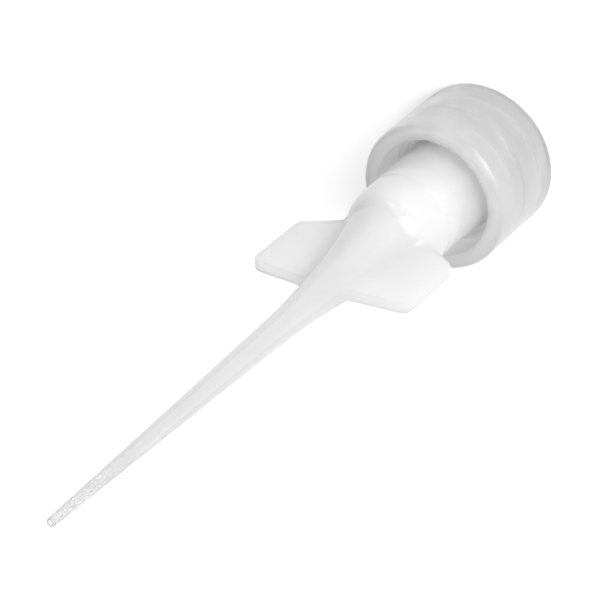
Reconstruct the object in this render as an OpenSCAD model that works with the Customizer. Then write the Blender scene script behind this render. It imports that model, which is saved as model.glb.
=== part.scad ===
// Plastic dispensing needle tip, two mouldings that clip together.
// The nozzle is one hollow piece: a long fine spout that flares into a hub, with two
// flat wings to hold it by and a taper socket in its base. The locking collar turns on
// the hub: its web sits between the hub's flange and a small snap ring, the open pocket
// in front of the web shows the hub, and the bead in its rear mouth grips the syringe.
// The tip points up and the collar stands on Z = 0.

/* [Locking collar] */
// Outside diameter of the collar
collar_d = 10; // [9:0.1:12]
// Height of the collar
collar_h = 6.7; // [6:0.1:9]
// Thickness of the collar's wall
collar_wall = 1.05; // [0.8:0.05:1.25]
// Depth of the rear mouth, from the rear rim up to the web
mouth_depth = 2.9; // [2.6:0.1:3.4]
// Thickness of the web that turns on the hub
web_t = 1.2; // [0.8:0.1:1.5]
// Height of the bead inside the rear mouth
bead_h = 1.25; // [0.8:0.05:1.4]
// How far the bead stands in from the wall
bead_in = 0.3; // [0.1:0.05:0.4]
// Radius of the rounded outer edge of both rims
rim_round = 0.4; // [0.1:0.05:0.5]

/* [Hub] */
// Outside diameter of the hub below its step
hub_d = 6.26; // [6:0.02:6.6]
// How much thinner the hub is above its step, across the diameter
hub_step = 0.14; // [0.06:0.02:0.3]
// Height of the step on the hub
step_z = 9.75; // [8:0.05:10.2]
// Height where the hub rounds over into its shoulder
shoulder_z = 10.9; // [10.6:0.05:12]
// Height of the rounded shoulder
shoulder_h = 2.1; // [1.6:0.05:2.6]
// How far the shoulder's curve reaches in from the hub
shoulder_in = 1.08; // [0.8:0.02:1.3]
// Height of the hub's flange
flange_h = 1.1; // [0.7:0.05:1.2]
// How far the snap ring stands out past the web's bore
snap_bite = 0.12; // [0.06:0.02:0.2]
// Height of the snap ring
snap_h = 0.45; // [0.3:0.05:0.8]

/* [Spout] */
// Height of the outlet
tip_z = 45.2; // [38:0.1:56]
// Outside diameter at the outlet
tip_d = 0.54; // [0.5:0.02:0.9]
// Inside diameter at the outlet
outlet_d = 0.26; // [0.2:0.01:0.3]
// How much the spout's radius grows for each mm below the outlet
spout_slope = 0.0285; // [0.022:0.0005:0.032]
// Height where the spout starts to flare
flare_top = 24.6; // [22:0.1:26]
// How far the flare spreads the spout at the shoulder
flare_out = 1.15; // [0.9:0.05:1.25]
// Thickness of the spout's wall at the flare's top
spout_wall = 0.42; // [0.35:0.01:0.5]

/* [Wings] */
// Distance across the two wings
wing_span = 10.9; // [9:0.1:13]
// Thickness of a wing
wing_t = 0.8; // [0.5:0.05:1]
// Height of the wing's lower outer corner
wing_low_z = 13.6; // [13:0.1:15]
// Length of the wing's outer edge between its corners
wing_edge = 5.2; // [3.5:0.1:6]
// Slope of the edge towards the base, in degrees
wing_low_slope = 32; // [25:1:40]
// Slope of the edge towards the tip, in degrees
wing_top_slope = 4; // [2:1:16]
// Radius of the wing's corners
wing_round = 0.7; // [0.3:0.05:1]

/* [Socket and fits] */
// Diameter of the taper socket at its mouth
socket_d = 4.3; // [4.2:0.01:4.4]
// Depth of the taper socket
socket_depth = 8; // [7:0.1:8.4]
// Radial running clearance between the hub and the web
spin_gap = 0.07; // [0.04:0.01:0.1]
// Clearance along the axis at the web, and around the flange
end_gap = 0.08; // [0.05:0.01:0.12]
// Clearance between the flange and the bead
bead_gap = 0.15; // [0.1:0.01:0.2]

/* [Hidden] */
$fn = 96;
overlap = 0.2;               // how far a wing's root is let into the spout's wall
chamfer = 0.2;               // lead-in at the socket, the flange and the bead
socket_taper = 0.03;         // radius lost for each mm of depth, a 6 per cent taper
blend = 0.18;                // softness of the crease between shoulder and flare
curve_steps = 16;            // points along each curved stretch of an outline

// Radii and heights of the collar
collar_r = collar_d / 2;
inner_r = collar_r - collar_wall;
bead_r = inner_r - bead_in;
web_top = mouth_depth + web_t;
bore_r = hub_d / 2 + spin_gap;

// Radii and heights of the hub
hub_r = hub_d / 2;
neck_r = hub_r - hub_step / 2;
flange_r = bead_r - bead_gap;
flange_top = mouth_depth - end_gap;
rear_z = flange_top - flange_h;
snap_z = web_top + end_gap;
snap_r = bore_r + snap_bite;
shoulder_r = neck_r - shoulder_in;
flare_base = shoulder_z + shoulder_h;

// Radii along the socket and the passage
socket_r = socket_d / 2;
socket_top = rear_z + socket_depth;
socket_end_r = socket_r - socket_taper * socket_depth;
throat_r = spout_r(flare_top) - spout_wall;

// Largest of two values, with a soft crease where they meet
function soft_max(a, b, k) =
    let (h = max(k - abs(a - b), 0) / k) max(a, b) + h * h * k / 4;

// Points of an arc about c, from angle a0 to a1
function arc(c, r, a0, a1, n = 6) =
    [for (i = [0:n]) let (a = a0 + (a1 - a0) * i / n) c + r * [cos(a), sin(a)]];

// Straight taper of the spout, and the flare that is added below flare_top
function spout_r(z) = tip_d / 2 + spout_slope * (tip_z - z);
function flare_at(z) = max(flare_top - z, 0) / (flare_top - flare_base);
function outer_r(z) = spout_r(z) + flare_out * pow(flare_at(z), 2);

// Radius of the rounded shoulder at the point reached at angle a of its curve
function shoulder_z_at(a) = shoulder_z + shoulder_h * sin(a);
function shoulder_r_at(a) =
    soft_max(shoulder_r + shoulder_in * cos(a), outer_r(shoulder_z_at(a)), blend);

// Outline of the nozzle's outside, from its rear face up to the outlet
hub_side = [
    [flange_r - chamfer, rear_z], [flange_r, rear_z + chamfer],
    [flange_r, flange_top], [hub_r, flange_top],
    [hub_r, snap_z], [snap_r, snap_z], [hub_r, snap_z + snap_h],
    [hub_r, step_z], [neck_r, step_z + hub_step / 2]
];
shoulder_side = [
    for (i = [0:curve_steps])
        let (a = 90 * i / curve_steps) [shoulder_r_at(a), shoulder_z_at(a)]
];
flare_side = [
    for (i = [1:curve_steps])
        let (z = flare_base + (flare_top - flare_base) * i / curve_steps) [outer_r(z), z]
];
tip_side = arc([outlet_d / 2 + (tip_d - outlet_d) / 4, tip_z - (tip_d - outlet_d) / 4],
               (tip_d - outlet_d) / 4, 0, 180);

// Outline of the passage, from the outlet down to the socket's mouth. It follows the
// flare inside, from the throat at the flare's top to the end of the socket.
passage_side = [
    for (i = [0:curve_steps])
        let (t = i / curve_steps, z = flare_top + (socket_top - flare_top) * t)
        [throat_r + (socket_end_r - throat_r) * (0.35 * t + 0.65 * t * t), z]
];
socket_side = [[socket_r, rear_z + chamfer], [socket_r + chamfer, rear_z]];

// Wing outline in the plane of the axis, on the side of +X
wing_r = wing_span / 2;
wing_top_z = wing_low_z + wing_edge;
root_r = spout_r(wing_top_z);
wing_points = [
    [root_r - overlap, wing_low_z - (wing_r - root_r + overlap) * tan(wing_low_slope)],
    [wing_r, wing_low_z],
    [wing_r, wing_top_z],
    [root_r - overlap, wing_top_z + (wing_r - root_r + overlap) * tan(wing_top_slope)]
];

module nozzle_body() {
    rotate_extrude()
        polygon(concat(hub_side, shoulder_side, flare_side, tip_side,
                       passage_side, socket_side));
}

// Both outer corners of a wing are rounded by arcs that touch its edges
module wing() {
    low = arc([wing_r - wing_round, wing_low_z + wing_round * tan((90 - wing_low_slope) / 2)],
              wing_round, wing_low_slope - 90, 0);
    top = arc([wing_r - wing_round, wing_top_z - wing_round * tan((90 - wing_top_slope) / 2)],
              wing_round, 0, 90 - wing_top_slope);
    rotate([90, 0, 0])
        linear_extrude(height = wing_t, center = true)
            polygon(concat([wing_points[0]], low, top, [wing_points[3]]));
}

// The passage as a solid, to keep the wings' roots out of it
module passage() {
    rotate_extrude()
        polygon(concat([[0, tip_z]], [[outlet_d / 2, tip_z]], passage_side,
                       [[socket_r, rear_z], [0, rear_z]]));
}

// Long tapered spout, wings, shoulder and hub in one moulding
module nozzle() {
    color("#F2F2F0")
        union() {
            nozzle_body();
            difference() {
                union() {
                    wing();
                    mirror([1, 0, 0]) wing();
                }
                passage();
            }
        }
}

// Ring that turns on the hub: front skirt, web, and rear mouth with its grip bead
module locking_collar() {
    color("#D9DAD8")
        rotate_extrude()
            polygon(concat(
                [[bead_r + chamfer, 0]],
                arc([collar_r - rim_round, rim_round], rim_round, -90, 0),
                arc([collar_r - rim_round, collar_h - rim_round], rim_round, 0, 90),
                [
                    [inner_r, collar_h], [inner_r, web_top],
                    [bore_r, web_top], [bore_r, mouth_depth],
                    [inner_r, mouth_depth], [inner_r, bead_h],
                    [bead_r, bead_h - chamfer], [bead_r, chamfer]
                ]));
}

nozzle();
locking_collar();
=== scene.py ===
import math

import bmesh
import bpy
from bpy.props import FloatProperty, FloatVectorProperty, IntProperty, PointerProperty
from mathutils import Matrix, Vector


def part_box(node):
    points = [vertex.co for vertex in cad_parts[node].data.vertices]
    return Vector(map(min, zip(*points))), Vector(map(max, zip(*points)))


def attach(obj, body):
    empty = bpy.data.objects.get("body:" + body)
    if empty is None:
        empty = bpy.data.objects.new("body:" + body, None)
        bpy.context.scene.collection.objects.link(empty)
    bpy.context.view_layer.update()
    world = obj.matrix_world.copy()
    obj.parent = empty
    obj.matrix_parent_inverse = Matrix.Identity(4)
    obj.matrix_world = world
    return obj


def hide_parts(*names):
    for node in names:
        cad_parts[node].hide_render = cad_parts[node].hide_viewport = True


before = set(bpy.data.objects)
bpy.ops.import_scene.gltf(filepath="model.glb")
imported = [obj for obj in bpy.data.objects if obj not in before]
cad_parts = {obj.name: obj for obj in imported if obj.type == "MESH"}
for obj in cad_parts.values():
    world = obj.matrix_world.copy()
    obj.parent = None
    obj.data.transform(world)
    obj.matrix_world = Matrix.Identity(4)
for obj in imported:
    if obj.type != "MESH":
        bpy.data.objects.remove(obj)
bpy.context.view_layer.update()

bl_info = {
    "name": "Dispensing Needle Tip",
    "version": (1, 0, 0),
    "blender": (4, 5, 0),
    "location": "3D View > Sidebar > Needle Tip",
    "description": "A translucent winged dispensing tip with its collar, and a studio for it",
    "category": "Add Mesh",
}

NOZZLE_LOW, NOZZLE_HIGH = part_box("nozzle")
COLLAR_LOW, COLLAR_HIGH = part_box("locking_collar")
MM = 0.001
SOCKET_TAPER = 0.03       # radius lost for each unit of depth, a 6 per cent taper
LEAD_IN = 0.2 * MM        # chamfer at the socket, the flange and the bead
LET_IN = 0.2 * MM         # how far a wing's root reaches into the spout's wall
SHARP_ANGLE = 38          # degrees past which an edge stays sharp in the shading
LEAST_HEIGHT = 0.02 * MM  # least height of a wing's column
PASSAGE_STRAIGHT = 0.35   # share of the passage's widening that is a straight taper
CORNER_STEPS = 4          # stretches of a rounded corner, and of each part of the outline
SHOULDER_STEPS = 28
FLARE_STEPS = 40
SPOUT_STEPS = 24
PASSAGE_STEPS = 36
LIGHT_AIM = Vector((0.0, 0.0, 0.012))
PAPER_ROUGHNESS = 0.9
PLASTIC_IOR = 1.49
SCATTER_FORWARD = 0.3     # how much the light in the plastic keeps its direction
WORLD_STRENGTH = 0.43
# Each light: its name, its direction before it is turned with the camera's azimuth, its
# distance and size in metres, and its power in watts
SOFTBOXES = (
    ("key_softbox", (0.72, -0.68, 0.16), 0.5, 0.12, 0.08, 0.4),
    ("fill_softbox", (-0.25, -0.95, 0.18), 0.5, 0.12, 0.08, 0.5),
    ("front_panel", (-0.25, -0.85, 0.46), 0.6, 0.5, 0.4, 4.3),
)
# This one isn't turned, because it lights the paper and the rims from above
TOP_SOFTBOX = ("top_softbox", (0.1, 0.3, 1.0), 0.7, 0.9, 0.9, 3.0)


# ---------------------------------------------------------------- settings

def length(name, description, millimetres):
    return FloatProperty(name=name, description=description, default=millimetres * MM,
                         subtype="DISTANCE", unit="LENGTH", precision=5)


def angle(name, description, degrees):
    return FloatProperty(name=name, description=description,
                         default=math.radians(degrees), subtype="ANGLE", unit="ROTATION")


def srgb(code):
    """Linear RGB of an sRGB hex colour such as #F2F2F0."""
    parts = [int(code[i:i + 2], 16) / 255 for i in (1, 3, 5)]
    return [p / 12.92 if p <= 0.04045 else ((p + 0.055) / 1.055) ** 2.4 for p in parts]


def colour(name, description, code):
    return FloatVectorProperty(name=name, description=description, subtype="COLOR",
                               size=3, min=0.0, max=1.0, default=srgb(code))


class NozzleSettings(bpy.types.PropertyGroup):
    flange_r: length("Flange radius", "Outside radius of the hub's rear flange", 3.5)
    flange_h: length("Flange height", "Thickness of the hub's rear flange", 1.1)
    hub_r: length("Hub radius", "Radius of the hub below its step", 3.13)
    neck_r: length("Neck radius", "Radius of the hub above its step", 3.06)
    step_z: length("Step height", "Height of the step on the hub", 9.75)
    snap_z: length("Snap ring height", "Height of the snap ring's flat side", 4.18)
    snap_r: length("Snap ring radius", "Outside radius of the snap ring", 3.32)
    snap_h: length("Snap ring slope", "Length of the snap ring's slope", 0.45)
    shoulder_z: length("Shoulder base", "Height where the hub rounds over", 10.9)
    shoulder_h: length("Shoulder height", "Height of the rounded shoulder", 2.1)
    shoulder_in: length("Shoulder depth", "How far the shoulder reaches in", 1.08)
    tip_r: length("Tip radius", "Outside radius at the outlet", 0.27)
    outlet_r: length("Outlet radius", "Inside radius at the outlet", 0.13)
    spout_slope: FloatProperty(name="Spout slope", default=0.0285, precision=4,
                               description="Radius gained for each unit below the outlet")
    flare_top: length("Flare top", "Height where the spout starts to flare", 24.6)
    flare_out: length("Flare spread", "Radius that the flare adds at the shoulder", 1.15)
    spout_wall: length("Spout wall", "Thickness of the wall at the flare's top", 0.42)
    socket_r: length("Socket radius", "Radius of the taper socket's mouth", 2.15)
    socket_depth: length("Socket depth", "Depth of the taper socket", 8.0)
    blend: length("Crease softness", "Softness of the crease under the flare", 0.18)
    wing_t: length("Wing thickness", "Thickness of a wing", 0.8)
    wing_low_z: length("Wing low corner", "Height of the wing's lower outer corner", 13.6)
    wing_edge: length("Wing outer edge", "Length of the wing's outer edge", 5.2)
    wing_low_slope: angle("Wing low slope", "Slope of the edge towards the base", 32)
    wing_top_slope: angle("Wing top slope", "Slope of the edge towards the tip", 4)
    wing_round: length("Wing corners", "Radius of the wing's corners", 0.7)
    wing_fillet: length("Wing fillet", "Radius where a wing runs into the spout", 0.22)
    wing_edge_round: length("Wing edge round", "Rounding of the wing's edges", 0.16)
    wings: IntProperty(name="Wings", default=2, min=1, max=4,
                       description="How many wings stand round the spout")


class CollarSettings(bpy.types.PropertyGroup):
    wall: length("Wall", "Thickness of the collar's wall", 1.05)
    mouth_depth: length("Rear mouth", "Depth of the rear mouth up to the web", 2.9)
    web_t: length("Web", "Thickness of the web that turns on the hub", 1.2)
    bore_r: length("Bore radius", "Radius of the hole in the web", 3.2)
    bead_h: length("Bead height", "Height of the bead in the rear mouth", 1.25)
    bead_in: length("Bead", "How far the bead stands in from the wall", 0.3)
    rim_round: length("Rim round", "Radius of the rims' outer edges", 0.4)
    inner_round: length("Inner round", "Radius of the small inner edges", 0.12)
    root_round: length("Root round", "Radius where the web meets the wall", 0.2)


class PlasticSettings(bpy.types.PropertyGroup):
    nozzle_colour: colour("Nozzle", "Colour of the light scattered in the nozzle", "#FFFFFF")
    collar_colour: colour("Collar", "Colour of the light scattered in the collar", "#FFFFFF")
    nozzle_milk: FloatProperty(name="Nozzle milkiness", default=4.5, min=0.0,
                               description="Times that light scatters per mm of the nozzle")
    collar_milk: FloatProperty(name="Collar milkiness", default=1.0, min=0.0,
                               description="Times that light scatters per mm of the collar")


class StudioSettings(bpy.types.PropertyGroup):
    distance: length("Camera distance", "From the front rim's centre to the camera", 150)
    elevation: angle("Elevation", "Angle of the camera above the front rim", 48.62)
    azimuth: angle("Azimuth", "Turn of the camera about the axis, from the front", -42.4)
    aim_z: length("Aim height", "Height of the point that the camera looks at", 21.21)
    aim_side: length("Aim offset", "How far right of the axis the camera looks", 0.46)
    roll: angle("Roll", "Turn of the camera about its own axis", -130.21)
    lens: FloatProperty(name="Focal length", default=144.4, min=10.0,
                        description="Focal length on a 36 mm sensor, in millimetres")
    floor_size: length("Floor size", "Width of the floor", 4000)
    floor_colour: colour("Floor", "Colour of the floor", "#FFFFFF")
    bounces: IntProperty(name="Bounces", default=64, min=4,
                         description="How often light may turn inside the milky plastic")


# ---------------------------------------------------------------- small tools

def make_object(name, data):
    piece = bpy.data.objects.new(name, data)
    bpy.context.scene.collection.objects.link(piece)
    return piece


def arc(centre, radius, start, end, steps=6):
    """Points of an arc about centre, with its angles in degrees."""
    points = []
    for i in range(steps + 1):
        turn = math.radians(start + (end - start) * i / steps)
        points.append((centre[0] + radius * math.cos(turn),
                       centre[1] + radius * math.sin(turn)))
    return points


def rounded(corners):
    """Outline through corners given as (r, z) or (r, z, radius), each radius made an arc."""
    outline = []
    count = len(corners)
    for i, corner in enumerate(corners):
        here = Vector(corner[:2])
        if len(corner) < 3 or corner[2] <= 0:
            outline.append(tuple(here))
            continue
        back = Vector(corners[i - 1][:2]) - here
        ahead = Vector(corners[(i + 1) % count][:2]) - here
        half = back.angle(ahead) / 2
        reach = corner[2] / math.tan(half)
        reach = min(reach, 0.49 * back.length, 0.49 * ahead.length)
        radius = reach * math.tan(half)
        centre = here + (back.normalized() + ahead.normalized()).normalized() \
            * (radius / math.sin(half))
        first = here + back.normalized() * reach - centre
        last = here + ahead.normalized() * reach - centre
        sweep = first.angle_signed(last)
        for step in range(CORNER_STEPS + 1):
            turn = Matrix.Rotation(-sweep * step / CORNER_STEPS, 2)
            outline.append(tuple(centre + turn @ first))
    return outline


def soft_max(a, b, k):
    """The larger of two values, with a soft crease where they meet."""
    h = max(k - abs(a - b), 0.0) / k
    return max(a, b) + h * h * k / 4


def finished(piece, name):
    """A plain mesh object of piece as its modifiers leave it. The piece itself is removed."""
    graph = bpy.context.evaluated_depsgraph_get()
    mesh = bpy.data.meshes.new_from_object(piece.evaluated_get(graph), depsgraph=graph)
    mesh.name = name
    bpy.data.objects.remove(piece)
    return make_object(name, mesh)


def smooth(piece):
    """Smooth shading that stays sharp over the steeper edges."""
    piece.data.shade_smooth()
    piece.data.set_sharp_from_angle(angle=math.radians(SHARP_ANGLE))


# ---------------------------------------------------------------- geometry nodes

def socket_id(tree, name):
    for item in tree.interface.items_tree:
        if item.item_type == "SOCKET" and item.in_out == "INPUT" and item.name == name:
            return item.identifier
    raise KeyError(name)


def add(tree, kind, settings=None, inputs=None):
    """Adds a node with its settings; each input is a value or the output socket to link."""
    made = tree.nodes.new(kind)
    for key, value in (settings or {}).items():
        setattr(made, key, value)
    for key, value in (inputs or {}).items():
        if isinstance(value, bpy.types.NodeSocket):
            tree.links.new(value, made.inputs[key])
        else:
            made.inputs[key].default_value = value
    return made


def new_group(name, inputs):
    tree = bpy.data.node_groups.new(name, "GeometryNodeTree")
    tree.interface.new_socket("Geometry", in_out="INPUT", socket_type="NodeSocketGeometry")
    for label, kind, default in inputs:
        made = tree.interface.new_socket(label, in_out="INPUT", socket_type=kind)
        if default is not None:
            made.default_value = default
    tree.interface.new_socket("Geometry", in_out="OUTPUT", socket_type="NodeSocketGeometry")
    return tree


def revolve_tree():
    """Turns a closed outline, drawn in X and Z, once round the Z axis."""
    tree = new_group("Revolve outline", [("Segments", "NodeSocketInt", 128),
                                         ("Path radius", "NodeSocketFloat", MM),
                                         ("Plastic", "NodeSocketMaterial", None)])
    given = add(tree, "NodeGroupInput")
    # The outline is laid on its side so that it stands across the circular path
    inward = add(tree, "ShaderNodeMath", {"operation": "MULTIPLY"},
                 {0: given.outputs["Path radius"], 1: -1.0})
    shift = add(tree, "ShaderNodeCombineXYZ", None, {"X": inward.outputs[0]})
    moved = add(tree, "GeometryNodeTransform", None,
                {"Geometry": given.outputs["Geometry"], "Translation": shift.outputs[0]})
    laid = add(tree, "GeometryNodeTransform", None,
               {"Geometry": moved.outputs[0], "Rotation": (math.pi / 2, 0.0, 0.0)})
    outline = add(tree, "GeometryNodeMeshToCurve", None, {"Mesh": laid.outputs[0]})
    path = add(tree, "GeometryNodeCurvePrimitiveCircle", None,
               {"Resolution": given.outputs["Segments"],
                "Radius": given.outputs["Path radius"]})
    swept = add(tree, "GeometryNodeCurveToMesh", None,
                {"Curve": path.outputs[0], "Profile Curve": outline.outputs[0]})
    painted = add(tree, "GeometryNodeSetMaterial", None,
                  {"Geometry": swept.outputs[0], "Material": given.outputs["Plastic"]})
    real = add(tree, "GeometryNodeRealizeInstances", None, {"Geometry": painted.outputs[0]})
    add(tree, "NodeGroupOutput", None, {"Geometry": real.outputs[0]})
    return tree


def around_tree():
    """Repeats a piece evenly round the Z axis."""
    tree = new_group("Repeat round axis", [("Count", "NodeSocketInt", 2),
                                           ("Plastic", "NodeSocketMaterial", None)])
    given = add(tree, "NodeGroupInput")
    spots = add(tree, "GeometryNodePoints", None, {"Count": given.outputs["Count"]})
    number = add(tree, "GeometryNodeInputIndex")
    step = add(tree, "ShaderNodeMath", {"operation": "DIVIDE"},
               {0: 2 * math.pi, 1: given.outputs["Count"]})
    turn = add(tree, "ShaderNodeMath", {"operation": "MULTIPLY"},
               {0: number.outputs[0], 1: step.outputs[0]})
    facing = add(tree, "ShaderNodeCombineXYZ", None, {"Z": turn.outputs[0]})
    copies = add(tree, "GeometryNodeInstanceOnPoints", None,
                 {"Points": spots.outputs[0], "Instance": given.outputs["Geometry"],
                  "Rotation": facing.outputs[0]})
    painted = add(tree, "GeometryNodeSetMaterial", None,
                  {"Geometry": copies.outputs[0], "Material": given.outputs["Plastic"]})
    real = add(tree, "GeometryNodeRealizeInstances", None, {"Geometry": painted.outputs[0]})
    add(tree, "NodeGroupOutput", None, {"Geometry": real.outputs[0]})
    return tree


def grow(piece, tree, values):
    """Runs a node tree on a piece, with its inputs given by name."""
    modifier = piece.modifiers.new(tree.name, "NODES")
    modifier.node_group = tree
    for name, value in values.items():
        modifier[socket_id(tree, name)] = value


def outline_mesh(name, points):
    """A closed outline in the XZ plane, as edges only."""
    mesh = bpy.data.meshes.new(name)
    count = len(points)
    mesh.from_pydata([(r, 0.0, z) for r, z in points],
                     [(i, (i + 1) % count) for i in range(count)], [])
    return mesh


def revolved(name, points, plastic, segments=144):
    piece = make_object(name, outline_mesh(name, points))
    grow(piece, revolve_tree(), {"Segments": segments, "Path radius": MM, "Plastic": plastic})
    piece = finished(piece, name)
    tidy = bmesh.new()
    tidy.from_mesh(piece.data)
    bmesh.ops.remove_doubles(tidy, verts=tidy.verts, dist=1e-7)
    bmesh.ops.recalc_face_normals(tidy, faces=tidy.faces)
    tidy.to_mesh(piece.data)
    tidy.free()
    return piece


# ---------------------------------------------------------------- materials

def milky_plastic(name, tint, milk, rough, grain_mm, grain_depth):
    """Natural polypropylene: a clear skin over a milky inside that light soaks through.

    The marks of a mould's polishing lie about 0.05 mm apart. They are drawn several times
    coarser, at grain_mm, because finer ones wouldn't show.
    """
    material = bpy.data.materials.new(name)
    material.use_nodes = True
    tree = material.node_tree
    shader = tree.nodes["Principled BSDF"]
    shader.inputs["Base Color"].default_value = (1.0, 1.0, 1.0, 1.0)
    shader.inputs["Roughness"].default_value = rough
    shader.inputs["IOR"].default_value = PLASTIC_IOR
    shader.inputs["Transmission Weight"].default_value = 1.0
    place = add(tree, "ShaderNodeTexCoord")
    grain = add(tree, "ShaderNodeTexNoise", None,
                {"Vector": place.outputs["Object"], "Scale": 1 / (grain_mm * MM),
                 "Detail": 4.0})
    bump = add(tree, "ShaderNodeBump", None,
               {"Height": grain.outputs["Fac"], "Strength": 0.2,
                "Distance": grain_depth * MM})
    tree.links.new(bump.outputs["Normal"], shader.inputs["Normal"])
    inside = add(tree, "ShaderNodeVolumeScatter", None,
                 {"Color": (*tint, 1.0), "Density": milk / MM,
                  "Anisotropy": SCATTER_FORWARD})
    tree.links.new(inside.outputs["Volume"], tree.nodes["Material Output"].inputs["Volume"])
    return material


def nozzle_plastic(settings):
    # Moulded in a polished tool: small clear highlights on the shoulder, and a white inside
    # that makes the thin wall and the wings glow
    return milky_plastic("glossy_natural_polypropylene", settings.nozzle_colour,
                         settings.nozzle_milk, 0.16, 0.5, 0.006)


def collar_plastic(settings):
    # The same plastic with less scatter, from a satin tool: broad dull highlights, and faint
    # bands where the web and the mouth lie behind the wall
    return milky_plastic("satin_natural_polypropylene", settings.collar_colour,
                         settings.collar_milk, 0.24, 0.3, 0.02)


def floor_paper(settings):
    # Matt paper: no highlight, only a faint shadow round the collar
    material = bpy.data.materials.new("white_studio_paper")
    material.use_nodes = True
    tree = material.node_tree
    shader = tree.nodes["Principled BSDF"]
    shader.inputs["Base Color"].default_value = (*settings.floor_colour, 1.0)
    shader.inputs["Roughness"].default_value = PAPER_ROUGHNESS
    return material


# ---------------------------------------------------------------- nozzle

class NozzleShape:
    """The nozzle's outline, worked out from its settings."""

    def __init__(self, s):
        self.s = s
        self.top = NOZZLE_HIGH.z
        self.rear = NOZZLE_LOW.z
        self.wing_r = NOZZLE_HIGH.x
        self.flare_base = s.shoulder_z + s.shoulder_h

    def spout_r(self, z):
        return self.s.tip_r + self.s.spout_slope * (self.top - z)

    def outer_r(self, z):
        share = max(self.s.flare_top - z, 0) / (self.s.flare_top - self.flare_base)
        return self.spout_r(z) + self.s.flare_out * share ** 2

    def shoulder(self, degrees):
        """Point of the rounded shoulder at this angle of its curve."""
        s = self.s
        turn = math.radians(degrees)
        z = s.shoulder_z + s.shoulder_h * math.sin(turn)
        r = s.neck_r - s.shoulder_in + s.shoulder_in * math.cos(turn)
        return soft_max(r, self.outer_r(z), s.blend), z

    def body_r(self, z):
        """Outside radius of shoulder and spout at a height."""
        if z >= self.flare_base:
            return self.outer_r(z)
        share = min(max((z - self.s.shoulder_z) / self.s.shoulder_h, 0.0), 1.0)
        return self.shoulder(math.degrees(math.asin(share)))[0]

    def height_at(self, r):
        """Height where the shoulder or spout has this radius."""
        low, high = self.s.shoulder_z, self.top
        # Each turn halves the stretch that holds the height
        for _ in range(40):
            middle = (low + high) / 2
            if self.body_r(middle) > r:
                low = middle
            else:
                high = middle
        return low

    def outline(self):
        s = self.s
        edge = 0.08 * MM
        flange_top = self.rear + s.flange_h
        hub = rounded([
            (s.socket_r + LEAD_IN, self.rear, 0.05 * MM),
            (s.flange_r - LEAD_IN, self.rear, edge),
            (s.flange_r, self.rear + LEAD_IN, edge),
            (s.flange_r, flange_top, edge),
            (s.hub_r, flange_top, edge),
            (s.hub_r, s.snap_z, 0.04 * MM),
            (s.snap_r, s.snap_z, 0.04 * MM),
            (s.hub_r, s.snap_z + s.snap_h, edge),
            (s.hub_r, s.step_z, 0.03 * MM),
            (s.neck_r, s.step_z + (s.hub_r - s.neck_r), 0.05 * MM),
            (s.neck_r, s.shoulder_z),
        ])
        # rounded() takes these corners as a closed loop, so the arc at the first one bends the
        # wrong way. It is left out, and the socket's mouth closes the outline there.
        hub = hub[CORNER_STEPS + 1:]
        shoulder = [self.shoulder(turn) for turn in self.steps(0, 90, SHOULDER_STEPS)]
        flare = [(self.outer_r(z), z)
                 for z in self.steps(self.flare_base, s.flare_top, FLARE_STEPS)]
        spout = [(self.spout_r(z), z)
                 for z in self.steps(s.flare_top, self.top, SPOUT_STEPS)[:-1]]
        lip = (s.tip_r - s.outlet_r) / 2
        tip = arc((s.outlet_r + lip, self.top - lip), lip, 0, 180, 10)
        socket_top = self.rear + s.socket_depth
        socket_end = s.socket_r - SOCKET_TAPER * s.socket_depth
        throat = self.spout_r(s.flare_top) - s.spout_wall
        passage = []
        for t in self.steps(0, 1, SPOUT_STEPS)[:-1]:
            passage.append((s.outlet_r + (throat - s.outlet_r) * t,
                            self.top - lip * 2 + (s.flare_top - self.top + lip * 2) * t))
        # Along the flare the passage widens partly straight and partly with the square
        for t in [0] + self.steps(0, 1, PASSAGE_STEPS):
            z = s.flare_top + (socket_top - s.flare_top) * t
            share = PASSAGE_STRAIGHT * t + (1 - PASSAGE_STRAIGHT) * t * t
            passage.append((throat + (socket_end - throat) * share, z))
        mouth = [(s.socket_r, self.rear + LEAD_IN), (s.socket_r + LEAD_IN, self.rear)]
        return hub + shoulder + flare + spout + tip + passage + mouth

    @staticmethod
    def steps(start, end, count):
        """Evenly spaced values after start, up to and with end."""
        return [start + (end - start) * i / count for i in range(1, count + 1)]


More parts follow.
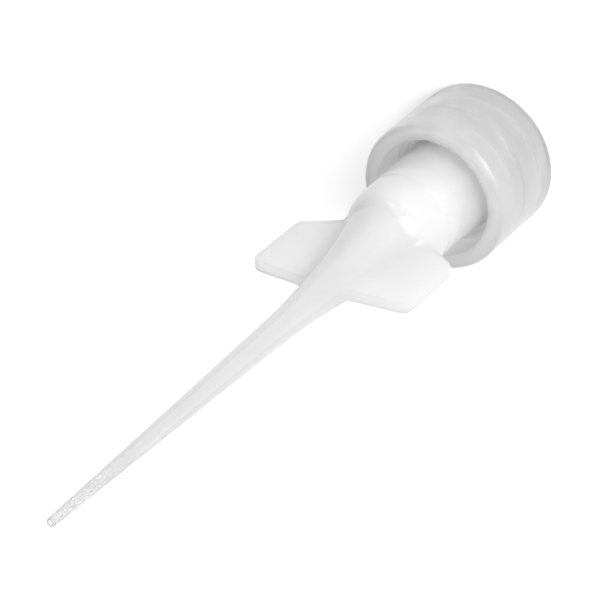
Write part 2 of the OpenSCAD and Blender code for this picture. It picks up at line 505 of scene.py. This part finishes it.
def wing_mesh(shape):
    """A wing on the side of +X, thicker where it runs into the spout, with rounded edges."""
    s = shape.s
    top_corner = s.wing_low_z + s.wing_edge
    centre_x = shape.wing_r - s.wing_round
    low_reach = s.wing_round * math.tan((math.pi / 2 - s.wing_low_slope) / 2)
    top_reach = s.wing_round * math.tan((math.pi / 2 - s.wing_top_slope) / 2)
    # Each corner: the side that it faces, its height, its arc's centre, its edge's slope
    corners = ((-1, s.wing_low_z, s.wing_low_z + low_reach, s.wing_low_slope),
               (1, top_corner, top_corner - top_reach, s.wing_top_slope))

    def edge_z(x, corner):
        """Height of the wing's lower or upper edge at x."""
        side, corner_z, centre_z, slope = corner
        if x > centre_x + s.wing_round * math.sin(slope):
            return centre_z + side * math.sqrt(max(s.wing_round ** 2 - (x - centre_x) ** 2, 0))
        return corner_z + side * (shape.wing_r - x) * math.tan(slope)

    def edge_gap(x, z):
        """How far inside its outline a point of the wing lies."""
        gap = shape.wing_r - x
        for side, corner_z, centre_z, slope in corners:
            line_z = corner_z + side * (shape.wing_r - x) * math.tan(slope)
            gap = min(gap, side * (line_z - z) * math.cos(slope))
            across, along = x - centre_x, side * (z - centre_z)
            if along > 0 and across * math.cos(slope) > along * math.sin(slope):
                gap = min(gap, s.wing_round - math.hypot(across, along))
        return max(gap, 0.0)

    def bite(radius, gap):
        """How much a quarter round of this radius takes at this distance from its edge."""
        near = max(radius - gap, 0.0)
        return radius - math.sqrt(radius ** 2 - near ** 2)

    first = shape.body_r(top_corner) - LET_IN
    columns = 60
    rows = 60
    work = bmesh.new()
    sides = {}
    for face in (-1, 1):
        for i in range(columns + 1):
            x = first + (shape.wing_r - first) * math.sin(math.pi / 2 * i / columns)
            top = edge_z(x, corners[1])
            low = max(edge_z(x, corners[0]),
                      min(shape.height_at(x + LET_IN), top - LEAST_HEIGHT))
            for j in range(rows + 1):
                z = low + (top - low) * (1 - math.cos(math.pi * j / rows)) / 2
                half = s.wing_t / 2 + bite(s.wing_fillet, max(x - shape.body_r(z), 0.0)) \
                    - bite(s.wing_edge_round, edge_gap(x, z))
                sides[face, i, j] = work.verts.new((x, face * half, z))
    for i in range(columns):
        for j in range(rows):
            for face in (-1, 1):
                square = [sides[face, i, j], sides[face, i + 1, j],
                          sides[face, i + 1, j + 1], sides[face, i, j + 1]]
                work.faces.new(square if face < 0 else square[::-1])
    border = [(i, 0) for i in range(columns)] + [(columns, j) for j in range(rows)] \
        + [(i, rows) for i in range(columns, 0, -1)] + [(0, j) for j in range(rows, 0, -1)]
    for k, spot in enumerate(border):
        after = border[(k + 1) % len(border)]
        work.faces.new([sides[-1, *after], sides[-1, *spot], sides[1, *spot],
                        sides[1, *after]])
    bmesh.ops.recalc_face_normals(work, faces=work.faces)
    mesh = bpy.data.meshes.new("wing")
    work.to_mesh(mesh)
    work.free()
    return mesh


def build_nozzle(settings, plastics):
    shape = NozzleShape(settings)
    material = nozzle_plastic(plastics)
    body = revolved("nozzle_body", shape.outline(), material)
    wings = make_object("nozzle_wings", wing_mesh(shape))
    grow(wings, around_tree(), {"Count": settings.wings, "Plastic": material})
    wings = finished(wings, "nozzle_wings")
    joined = body.modifiers.new("Wings", "BOOLEAN")
    joined.operation = "UNION"
    joined.solver = "EXACT"
    joined.object = wings
    nozzle = finished(body, "tip_nozzle")
    bpy.data.objects.remove(wings)
    smooth(nozzle)
    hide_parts("nozzle")
    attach(nozzle, "nozzle")


# ---------------------------------------------------------------- collar

def collar_outline(s):
    outer = COLLAR_HIGH.x
    height = COLLAR_HIGH.z
    inner = outer - s.wall
    bead = inner - s.bead_in
    web_top = s.mouth_depth + s.web_t
    return rounded([
        (bead + LEAD_IN, 0.0, 0.06 * MM),
        (outer, 0.0, s.rim_round),
        (outer, height, s.rim_round),
        (inner, height, s.inner_round),
        (inner, web_top, s.root_round),
        (s.bore_r, web_top, 0.08 * MM),
        (s.bore_r, s.mouth_depth, 0.08 * MM),
        (inner, s.mouth_depth, s.root_round),
        (inner, s.bead_h, 0.15 * MM),
        (bead, s.bead_h - LEAD_IN, 0.12 * MM),
        (bead, LEAD_IN, 0.06 * MM),
    ])


def build_collar(settings, plastics):
    collar = revolved("spin_collar", collar_outline(settings), collar_plastic(plastics))
    smooth(collar)
    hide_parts("locking_collar")
    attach(collar, "collar")


# ---------------------------------------------------------------- studio

def build_camera(s):
    turn = Matrix.Rotation(s.azimuth, 3, "Z")
    rim = Vector((0.0, 0.0, COLLAR_HIGH.z))
    back = Vector((0.0, -math.cos(s.elevation), math.sin(s.elevation)))
    spot = turn @ (rim + back * s.distance)
    aim = turn @ Vector((s.aim_side, 0.0, s.aim_z))
    data = bpy.data.cameras.new("camera")
    data.lens = s.lens
    data.sensor_width = 36.0
    data.clip_start = 0.01
    data.clip_end = 20.0
    camera = make_object("camera", data)
    facing = (aim - spot).to_track_quat("-Z", "Y").to_matrix()
    camera.rotation_mode = "QUATERNION"
    camera.location = spot
    camera.rotation_quaternion = (facing @ Matrix.Rotation(s.roll, 3, "Z")).to_quaternion()
    bpy.context.scene.camera = camera


def softbox(name, direction, distance, width, height, power):
    """A soft light that faces the nozzle's shoulder from a direction."""
    data = bpy.data.lights.new(name, "AREA")
    data.shape = "RECTANGLE"
    data.size = width
    data.size_y = height
    data.energy = power
    light = make_object(name, data)
    light.location = LIGHT_AIM + direction.normalized() * distance
    light.rotation_mode = "QUATERNION"
    light.rotation_quaternion = (-direction).to_track_quat("-Z", "Y")


def build_lights(s):
    turn = Matrix.Rotation(s.azimuth, 3, "Z")
    for name, direction, *rest in SOFTBOXES:
        softbox(name, turn @ Vector(direction), *rest)
    name, direction, *rest = TOP_SOFTBOX
    softbox(name, Vector(direction), *rest)
    world = bpy.data.worlds.new("white_studio")
    world.use_nodes = True
    backing = world.node_tree.nodes["Background"]
    backing.inputs["Color"].default_value = (1.0, 1.0, 1.0, 1.0)
    backing.inputs["Strength"].default_value = WORLD_STRENGTH
    bpy.context.scene.world = world


def build_floor(s):
    mesh = bpy.data.meshes.new("floor")
    half = s.floor_size / 2
    mesh.from_pydata([(-half, -half, 0), (half, -half, 0), (half, half, 0), (-half, half, 0)],
                     [], [(0, 1, 2, 3)])
    floor = make_object("floor", mesh)
    floor.data.materials.append(floor_paper(s))


# ---------------------------------------------------------------- operators and panel

class NEEDLETIP_OT_nozzle(bpy.types.Operator):
    """Builds the nozzle with its wings"""
    bl_idname = "needletip.nozzle"
    bl_label = "Build nozzle"

    def execute(self, context):
        scene = context.scene
        build_nozzle(scene.needletip_nozzle, scene.needletip_plastic)
        return {"FINISHED"}


class NEEDLETIP_OT_collar(bpy.types.Operator):
    """Builds the locking collar"""
    bl_idname = "needletip.collar"
    bl_label = "Build locking collar"

    def execute(self, context):
        scene = context.scene
        build_collar(scene.needletip_collar, scene.needletip_plastic)
        return {"FINISHED"}


class NEEDLETIP_OT_studio(bpy.types.Operator):
    """Builds the camera, the lights and the floor"""
    bl_idname = "needletip.studio"
    bl_label = "Build studio"

    def execute(self, context):
        settings = context.scene.needletip_studio
        build_camera(settings)
        build_lights(settings)
        build_floor(settings)
        context.scene.view_settings.view_transform = "Standard"
        paths = context.scene.cycles
        paths.max_bounces = settings.bounces
        paths.volume_bounces = settings.bounces
        paths.transmission_bounces = settings.bounces
        return {"FINISHED"}


class NEEDLETIP_PT_panel(bpy.types.Panel):
    """Lists the steps that build the needle tip"""
    bl_idname = "NEEDLETIP_PT_panel"
    bl_label = "Dispensing Needle Tip"
    bl_space_type = "VIEW_3D"
    bl_region_type = "UI"
    bl_category = "Needle Tip"

    def draw(self, context):
        column = self.layout.column()
        for operator in STEPS:
            column.operator(operator.bl_idname)


SETTINGS = {
    "needletip_nozzle": NozzleSettings,
    "needletip_collar": CollarSettings,
    "needletip_plastic": PlasticSettings,
    "needletip_studio": StudioSettings,
}
STEPS = (NEEDLETIP_OT_studio, NEEDLETIP_OT_collar, NEEDLETIP_OT_nozzle)


def register():
    for kind in (*SETTINGS.values(), *STEPS, NEEDLETIP_PT_panel):
        bpy.utils.register_class(kind)
    for name, kind in SETTINGS.items():
        setattr(bpy.types.Scene, name, PointerProperty(type=kind))


def unregister():
    for name in SETTINGS:
        delattr(bpy.types.Scene, name)
    for kind in (NEEDLETIP_PT_panel, *STEPS, *SETTINGS.values()):
        bpy.utils.unregister_class(kind)


def main():
    register()
    bpy.ops.needletip.studio()
    bpy.ops.needletip.collar()
    bpy.ops.needletip.nozzle()


if __name__ == "__main__":
    main()
